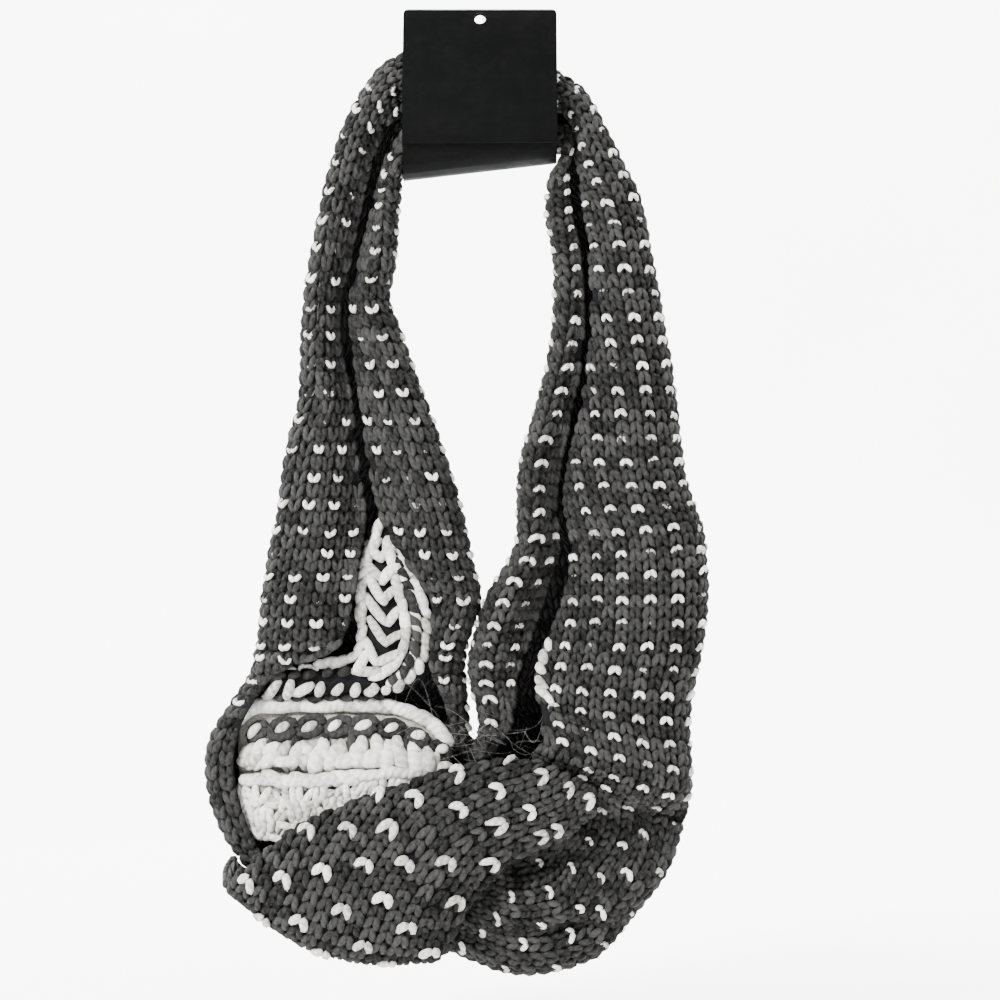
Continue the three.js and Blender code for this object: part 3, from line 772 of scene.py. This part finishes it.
def knit(name, sheet, runs, start, end, flecks, sink, keep=everywhere, fleck=FLECK):
    """The charcoal stitches over a stretch of a sheet and the white flecks on them, as joined meshes.

    runs has the half that a run's stitches are joined to, its anchor, its wales, and where it has them.
    sink is how far the faintest flecks lie between the charcoal stitches, in wales.
    """
    charcoal, white = {}, []
    for half, anchor, wales, own in runs:

        def both(along, across, points, own=own):
            return keep(along, across, points) & own(along, across)

        cells = knit_cells(sheet, anchor, start, end, wales, both)
        light = flecks(*cells)
        charcoal.setdefault(half, []).append(stitch_tubes(sheet, anchor, cells[:3], LEG))
        white.append(stitch_tubes(sheet, anchor, [values[light] for values in cells[:3]], fleck, sink))
    made = [
        tubes(f"{name}_{half}", *[np.concatenate(columns) for columns in zip(*parts)], charcoal_yarn)
        for half, parts in charcoal.items()
    ]
    arrays = [np.concatenate(columns) for columns in zip(*white)]
    return [*made, tubes(f"{name}_white", *arrays, white_yarn)]


# a wale's width as a share of the channel's
WALE_SHARES = channel.pitch / channel.length
# the inner half's first wale lies at least this many wales past the outer half's last one
HALVES_APART = 0.6
# a free edge gets one wale more where the last one's middle lies this many wales inside it, and how far
# inside it the new one's middle lies
EDGE_BARE = 0.52
EDGE_INSET = 0.18


def channel_mid(u):
    return channel.at(u, channel.anchors["middle"])


def past_outer(u, v):
    """True past the outer half's last wale, at the middle of the back."""
    width = channel.at(u, WALE_SHARES)
    start = channel.at(u, channel.anchors["outer"])
    last = start + (np.floor((channel_mid(u) - start) / width - 0.5) + 0.5) * width
    return v > last + HALVES_APART * width


def edge_is_bare(anchor, edge):
    """A test of whether the wales counted from an anchor end well short of a free edge."""

    def test(u, v):
        room = abs(edge - channel.at(u, channel.anchors[anchor])) / channel.at(u, WALE_SHARES)
        return (room - 0.5) % 1 > EDGE_BARE

    return test


# the edge's own wale is the second from its anchor, where no fleck comes
channel.anchors["outer_edge"] = (EDGE_INSET - 1.5) * WALE_SHARES
channel.anchors["inner_edge"] = 1 - (EDGE_INSET + 1.5) * WALE_SHARES

# the outer half runs from the outer free edge to the middle of the back, the inner half from there on
CHANNEL_RUNS = [
    ("outer", "outer", (-14, 16), lambda u, v: v < channel_mid(u)),
    ("outer", "outer_edge", (1, 2), edge_is_bare("outer", 0)),
    ("inner", "inner", (-16, 20), past_outer),
    ("inner", "inner_edge", (1, 2), edge_is_bare("inner", 1)),
]


def beside_sweep(along, across, points, upper=8, lower=9, end=8, right=50):
    """True where the channel's stitches aren't covered by the front band.

    It hides what lies so far inside its upper side, lower side and left end, up to the x at right.
    """
    x, y, z = points[..., 0], points[..., 1], points[..., 2]
    a_x, a_z, b_x, b_z = np.array(FRONT_SWEEP[3:]).T[:4]
    inside = (z < np.interp(x, a_x, a_z) - upper) & (z > np.interp(x, b_x, b_z) + lower)
    return ~(inside & (y < 0) & (x > a_x[0] + end) & (x < right))


def clear_of_card(along, across, points, half=52, lower=(-113, -102), room=(-94, -42)):
    """True where stitches have room inside the card, or stand outside it. Its lower edge slants."""
    x, z = points[..., 0], points[..., 2]
    below = z < np.interp(x, [-half, half], lower)
    return (abs(x) > half) | below | ((z > room[0]) & (z < room[1]))


def dress(shell, yarns, node):
    """Hangs a stretch of cloth, its thin sheet and its stitches, on the body, and hides its solid."""
    for piece in (shell, *yarns):
        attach(piece, "root")
    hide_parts(node)


FACE_GROUNDS = (charcoal_ground_painted_shade, reverse_knit_painted_shade)

# the channel's stretches: name, node, first and last row, flat size, how it is held, what it rests on,
# where it has stitches, and how far its faintest flecks sink
STRETCHES = [
    ("cloth_top", "top_bundle", LOOP_END, LOOP_END + 1 + LEFT_START, (0.17, 0.085), "gathered",
     ["hang_card"], clear_of_card, 0.2),
    ("cloth_left", "left_limb", LEFT_START, BOTTOM_START, (0.22, 0.44), "hung",
     ["cloth_top"], clear_of_card, 0.24),
    ("cloth_bottom", "bottom_fold", BOTTOM_START, RIGHT_START, (0.35, 0.32), "hung",
     ["cloth_left", "cloth_right"], beside_sweep, 0.14),
    ("cloth_right", "right_limb", RIGHT_START, LOOP_END, (0.24, 0.36), "hung",
     ["cloth_top"], clear_of_card, 0.16),
]
for name, node, start, end, flat, held, rests, keep, sink in STRETCHES:
    channel_shell = cloth_shell(name, channel, start, end, FACE_GROUNDS)
    channel_yarns = knit(f"{name}_knit", channel, CHANNEL_RUNS, start, end, channel_flecks, sink, keep)
    dress(channel_shell, channel_yarns, node)


def sweep_piece():
    end = len(FRONT_SWEEP) - 1
    shell = cloth_shell("cloth_sweep", sweep, 0, end, FACE_GROUNDS)
    runs = [("b", "b", (-22, 0), lambda u, v: v > 0.0)]
    yarns = knit("cloth_sweep_knit", sweep, runs, 0, end, sparse_flecks, 0.1, fleck=WIDE_FLECK)
    dress(shell, yarns, "front_sweep")


sweep_piece()

# The white reverse: yarn shapes in rows of along, across, lift and radius, in millimetres
RINGS = 9


def spindle(end, half, lifts, radii):
    """A yarn shape with two like halves: its end and half-way point, then lifts and radii to its middle."""
    places = [end, half, (0, 0)]
    first = [(*place, lift, radius) for place, lift, radius in zip(places, lifts, radii)]
    return first + [(-along, -across, lift, radius) for along, across, lift, radius in first[-2::-1]]


OVAL = spindle((6.0, -3.2), (3.0, -1.6), (0.6, 2.4, 3.0), (1.6, 3.5, 4.0))
SLANT = spindle((-8.4, 6.0), (-4.2, 3.0), (0.8, 2.7, 3.2), (1.8, 3.1, 3.4))
CORD = spindle((-9, -0.8), (-4, -0.4), (2.0, 3.4, 3.7), (2.6, 3.9, 4.2))
BORDER = spindle((-8, -1.2), (-4, -0.6), (0.8, 2.8, 3.4), (1.8, 3.4, 3.8))
KNOT = spindle((-4.6, 1.6), (-2.4, 0.8), (0.5, 2.4, 2.9), (1.5, 2.7, 3.0))
SEED = spindle((-3.2, 2.4), (-1.6, 1.2), (1.6, 3.0, 3.5), (1.1, 2.1, 2.4))
TAB = spindle((0.4, -5.0), (0.2, -2.4), (0.8, 2.2, 2.6), (1.6, 2.6, 2.8))
ARC = [
    (-6.2, -2.0, 1.4, 0.9), (-3.6, 0.7, 2.2, 1.5), (0, 1.6, 2.5, 1.6), (3.6, 0.7, 2.2, 1.5),
    (6.2, -2.0, 1.4, 0.9),
]
SCALLOP = [(0, -7.0, 1.2, 2.4), (0, -3.6, 3.0, 4.0), (0, 0, 3.4, 4.4), (0, 3.6, 2.6, 3.8), (0, 7.0, 0.6, 2.2)]
TUFT = [
    (0.8, -6.0, 0.8, 1.4), (0.3, -3.0, 2.0, 2.2), (0, 0, 2.4, 2.3), (-0.5, 3.0, 2.0, 2.0),
    (-1.2, 6.0, 0.5, 1.2),
]
LEFT_ARM = [
    (-15, 12.0, 0.8, 1.8), (-10, 9.0, 2.8, 3.0), (-4.5, 5.6, 3.2, 3.2), (0.5, 2.0, 3.0, 3.0),
    (3.6, -0.6, 1.4, 1.8),
]
RIGHT_ARM = [
    (-7.4, -12.4, 1.0, 1.8), (-5.2, -8.4, 2.8, 2.8), (-2.6, -4.4, 3.2, 3.0), (0.8, -1.2, 3.0, 2.9),
    (3.8, 0.8, 1.2, 1.8),
]
# how far a motif strays along, across and in lift, and how much its size varies
MOTIF_STRAY = (0.5, 0.4, 0.25, 0.07)


def ring_shape(opening=0.1, high=8.2, wide=5.8, slant=0.35, lift=2.2, swing=0.8, radius=3.2):
    """One loop of the chain, a slanted ring that just fails to close."""
    turn = np.linspace(opening, 2 * math.pi - opening, RINGS)
    along, across = high * np.cos(turn), wide * np.sin(turn)
    lift = lift + swing * np.cos(turn)
    return np.stack([along - slant * across, across, lift, np.full(RINGS, radius)], axis=1)


def motif(sheet, share, start, end, spacing, shape, offset=0.5, size=1.0, wild=0.12, steps=400):
    """Copies of one yarn shape along a lane of a ribbon, as arrays for tubes().

    share is the lane's place from side a to side b, one number or one for each of evenly spaced stops.
    wild is how far a copy turns out of its place, in radians.
    """
    stops = np.atleast_1d(share)
    u = np.linspace(start, end, steps)
    lane_share = np.interp(np.linspace(0, 1, len(u)), np.linspace(0, 1, len(stops)), stops)
    line = sheet.sample(u, sheet.lane(u, lane_share))[0]
    far = np.concatenate([[0], np.cumsum(np.linalg.norm(np.diff(line, axis=0), axis=1))])
    marks = np.arange(offset * spacing, far[-1], spacing)
    count = len(marks)
    rows = smooth_rows(shape, np.linspace(0, len(shape) - 1, RINGS))
    shake = RANDOM.normal(size=(count, 4)) * MOTIF_STRAY
    scale = size * (1 + shake[:, 3:4])
    turn = RANDOM.normal(size=(count, 1)) * wild
    ahead = (rows[:, 0] * np.cos(turn) - rows[:, 1] * np.sin(turn)) * scale
    aside = (rows[:, 0] * np.sin(turn) + rows[:, 1] * np.cos(turn)) * scale
    at = marks[:, None] + ahead + shake[:, :1]
    along = np.interp(at, far, u)
    across = sheet.lane(along, np.interp(at, far, lane_share))
    across = across + (aside + shake[:, 1:2]) / sheet.at(along, sheet.length)
    centres, normals = sheet.sample(along, across, rows[:, 2] * scale + shake[:, 2:3])
    return centres, normals, rows[:, 3] * scale, RANDOM.random(count)


def joined(name, motifs, material):
    return tubes(name, *[np.concatenate(columns) for columns in zip(*motifs)], material, sides=8)


def fall_piece():
    """The reverse that falls out of the valley as nested white Vs and turns left as the first swag."""
    shell = cloth_shell("cloth_fall", fall, 0, len(INNER_FALL) - 1, FACE_GROUNDS)
    white = joined("cloth_fall_white", [
        motif(fall, [0.80, 0.93, 0.95, 0.95, 0.96], 0.1, 5.6, 8.4, BORDER),
        motif(fall, [0.62, 0.66, 0.66, 0.70], 0.7, 5.0, 14.5, LEFT_ARM, size=1.05),
        motif(fall, [0.62, 0.66, 0.66, 0.70], 0.7, 5.0, 14.5, RIGHT_ARM, size=1.05),
        motif(fall, [0.44, 0.46, 0.45, 0.50], 0.6, 5.0, 8.6, BORDER, size=0.95),
        motif(fall, [0.32, 0.33, 0.30], 1.1, 5.0, 8.6, SEED, size=0.95, offset=0.6),
        motif(fall, [0.17, 0.20, 0.19, 0.16], 0.7, 5.2, 9.2, OVAL, size=0.95),
        motif(fall, [0.22, 0.36, 0.38], 5.2, 8.0, 11.2, SLANT, wild=0.1),
        motif(fall, [0.90, 0.97, 0.97], 5.3, 8.0, 12.0, ARC),
    ], white_yarn)
    charcoal = joined("cloth_fall_charcoal", [
        motif(fall, [0.32, 0.33, 0.30], 1.1, 5.0, 8.6, KNOT, offset=0.1, size=1.15),
        motif(fall, [0.74, 0.80, 0.82], 5.0, 8.0, 11.2, KNOT, size=1.1),
        motif(fall, [0.02, 0.08, 0.08], 5.3, 8.0, 11.2, KNOT),
        motif(fall, [0.98, 0.99], 0.3, 2.0, 9.0, KNOT, size=1.1),
    ], charcoal_yarn)
    dress(shell, [white, charcoal], "inner_fall")


# the chain's lane on the swag, and the distance from one ring to the next
CHAIN = [0.23, 0.22, 0.25, 0.34]
CHAIN_STEP = 18.4


def swag_piece():
    """The reverse below it: a white cord, a chain of charcoal rings, white scallops and a soft white edge."""
    shell = cloth_shell("cloth_swag", swag, 0, len(INNER_SWAG) - 1, (white_ground_painted_shade, reverse_knit_painted_shade))
    white = joined("cloth_swag_white", [
        motif(swag, [0.085, 0.09, 0.085], 0.3, 6.0, 9.0, CORD, size=1.15, wild=0.05),
        motif(swag, CHAIN, 0.5, 6.0, CHAIN_STEP, SEED, size=1.4),
        motif(swag, [0.38, 0.40, 0.45, 0.54], 2.3, 6.0, 12.5, SCALLOP, size=1.1, wild=0.5),
        motif(swag, [0.44, 0.46, 0.51, 0.60], 2.3, 6.0, 9.5, OVAL, offset=0.1, size=1.5, wild=0.9),
        motif(swag, [0.36, 0.38], 0.4, 2.5, 8.5, OVAL, size=1.15, wild=0.6),
        motif(swag, [0.41, 0.43], 0.4, 2.5, 9.0, OVAL, offset=0.1, size=1.1, wild=0.6),
        motif(swag, 0.45, 0.5, 2.6, 6.0, TUFT, wild=0.6),
        motif(swag, [0.57, 0.60, 0.62], 0.4, 5.0, 9.5, CORD, wild=0.15),
        *[
            motif(swag, share, 0.2, 5.8, 5.0, TUFT, offset=0.3 * k, size=1.15, wild=0.6)
            for k, share in enumerate((0.68, 0.74, 0.81, 0.88, 0.96))
        ],
    ], white_yarn)
    charcoal = joined("cloth_swag_charcoal", [
        motif(swag, CHAIN, 0.5, 6.0, CHAIN_STEP, ring_shape(), wild=0.08),
        motif(swag, np.array(CHAIN) + 0.11, 0.5, 6.0, CHAIN_STEP, TAB, offset=1.0, size=1.15),
        motif(swag, 0.66, 0.4, 4.4, 6.4, KNOT, size=0.55, wild=0.5),
        motif(swag, 0.72, 0.3, 1.8, 6.0, KNOT, size=0.6, wild=0.5),
    ], charcoal_yarn)
    dress(shell, [white, charcoal], "inner_swag")


def valley_piece():
    """White stitches of the reverse that show along the right panel's free edge, low down."""
    sliver = joined("cloth_right_reverse", [
        motif(channel, [0.012, 0.002, 0.004], 34.3, 36.2, 8.5, OVAL, size=0.8, wild=0.25),
        motif(channel, [0.024, 0.012], 34.1, 34.9, 9.5, SEED, size=0.9, wild=0.3),
    ], white_yarn)
    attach(sliver, "root")


# Loose fibres in the pocket between the limbs and the front band: how many, where they start and how far
# that spreads, and how far they reach in x, y and z
FIBRES = 50
FIBRE_START = (8, -26, -492)
FIBRE_SPREAD = (25, 3, 9)
FIBRE_REACH = (22, 5, 12)


def fibre_piece(longest=1.4, rise=4, sway=9, steps=10, radius=0.18, taper=0.6):
    """Fine hairs of yarn that stand out of the pocket. longest is a share of their reach."""
    start = FIBRE_START + RANDOM.normal(size=(FIBRES, 3)) * FIBRE_SPREAD
    reach = np.clip(RANDOM.normal(size=(FIBRES, 3)), -longest, longest) * FIBRE_REACH
    reach[:, 2] = abs(reach[:, 2]) + rise
    bend = RANDOM.normal(size=(FIBRES, 3)) * sway
    t = np.linspace(0, 1, steps)[None, :, None]
    centres = start[:, None] + reach[:, None] * t + bend[:, None] * np.sin(np.pi * t)
    normals = np.broadcast_to((0.2, -1.0, 0.1), centres.shape)
    radii = radius * (1 - taper * np.broadcast_to(t[..., 0], centres.shape[:2]))
    fibres = tubes("cloth_sweep_fibres", centres, normals, radii, RANDOM.random(FIBRES), fibre_grey, sides=4)
    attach(fibres, "root")


fall_piece()
swag_piece()
valley_piece()
fibre_piece()

card_black = card_material("card_black", (0.0008, 0.0009, 0.0009), (0.0028, 0.003, 0.0028), 0.6)
card_cut = card_material("card_cut", (0.16, 0.16, 0.155), (0.30, 0.30, 0.29), 0.8)


def finish_card(card, sideways=0.9, sharp=35, weld=1e-6):
    """The card keeps its solid, with smooth bends, sharp edges past an angle, and pale cut sides."""
    card.data.materials.clear()
    card.data.materials.append(card_black)
    card.data.materials.append(card_cut)
    for face in card.data.polygons:
        face.use_smooth = True
        face.material_index = int(abs(face.normal.x) > sideways)
    card.modifiers.new("weld", "WELD").merge_threshold = weld
    split = card.modifiers.new("edges", "EDGE_SPLIT")
    split.split_angle = math.radians(sharp)


finish_card(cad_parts["hang_card"])


# Floor and light, in metres

FLOOR_Z = -0.71
FLOOR_REACH = 7.0
WALL_Y = 2.6
WALL_HEIGHT = 4.0
BEND = 1.2
BEND_STEPS = 24
# the studio's strength in front of the object and behind it
SKY_FRONT = 0.62
SKY_BACK = 2.4


def make_stage():
    material, tree, shader = nodes_of("floor_white")
    place = add_node(tree, "ShaderNodeTexCoord").outputs["Object"]
    tree.links.new(
        ramp(tree, noise(tree, place, 3.0), [(0.3, (0.86, 0.86, 0.86)), (0.7, (0.9, 0.9, 0.9))]),
        shader.inputs["Base Color"],
    )
    shader.inputs["Roughness"].default_value = 0.9
    # the floor runs back and curves up into a wall behind the object
    turn = np.linspace(0, math.pi / 2, BEND_STEPS)
    profile = [(-FLOOR_REACH, 0.0), *zip(WALL_Y - BEND * (1 - np.sin(turn)), BEND * (1 - np.cos(turn)))]
    profile.append((WALL_Y, WALL_HEIGHT))
    line = np.array([(0.0, y, FLOOR_Z + z) for y, z in profile]) / MM
    ends = (FLOOR_REACH / MM, 0, 0)
    count = len(line)
    k = np.arange(count - 1)
    faces = np.stack([k, k + count, k + count + 1, k + 1], axis=1)
    link_mesh("floor", np.concatenate([line - ends, line + ends]), [faces], material)
    world = bpy.data.worlds.new("studio")
    bpy.context.scene.world = world
    world.use_nodes = True
    sky = world.node_tree
    background = sky.nodes["Background"]
    background.inputs["Color"].default_value = (1, 1, 1, 1)
    # the studio is brightest behind the object
    ways = add_node(sky, "ShaderNodeTexCoord").outputs["Generated"]
    depth = add_node(sky, "ShaderNodeSeparateXYZ", {0: ways}).outputs["Y"]
    reach = {"Value": depth, "From Min": -0.2, "From Max": 0.9, "To Min": SKY_FRONT, "To Max": SKY_BACK}
    light = add_node(sky, "ShaderNodeMapRange", reach, interpolation_type="SMOOTHSTEP").outputs[0]
    sky.links.new(light, background.inputs["Strength"])


def area_light(name, place, target, size, power):
    light = bpy.data.lights.new(name, "AREA")
    light.size = size
    light.energy = power
    lamp = bpy.data.objects.new(name, light)
    lamp.location = place
    lamp.rotation_euler = (Vector(target) - Vector(place)).to_track_quat("-Z", "Y").to_euler()
    bpy.context.scene.collection.objects.link(lamp)


make_stage()
area_light("key", (-1.1, -1.3, 0.7), (0, 0, -0.35), 0.45, 170)
area_light("fill", (1.3, -1.2, 0.1), (0, 0, -0.35), 1.0, 16)
area_light("back", (0.3, 1.6, 1.0), (0, 0, -0.3), 1.2, 30)
for side in (-1, 1):
    area_light(f"wall_{side + 1}", (side * 1.5, 0.6, 1.3), (-0.2 * side, WALL_Y, -0.3), 1.0, 330)
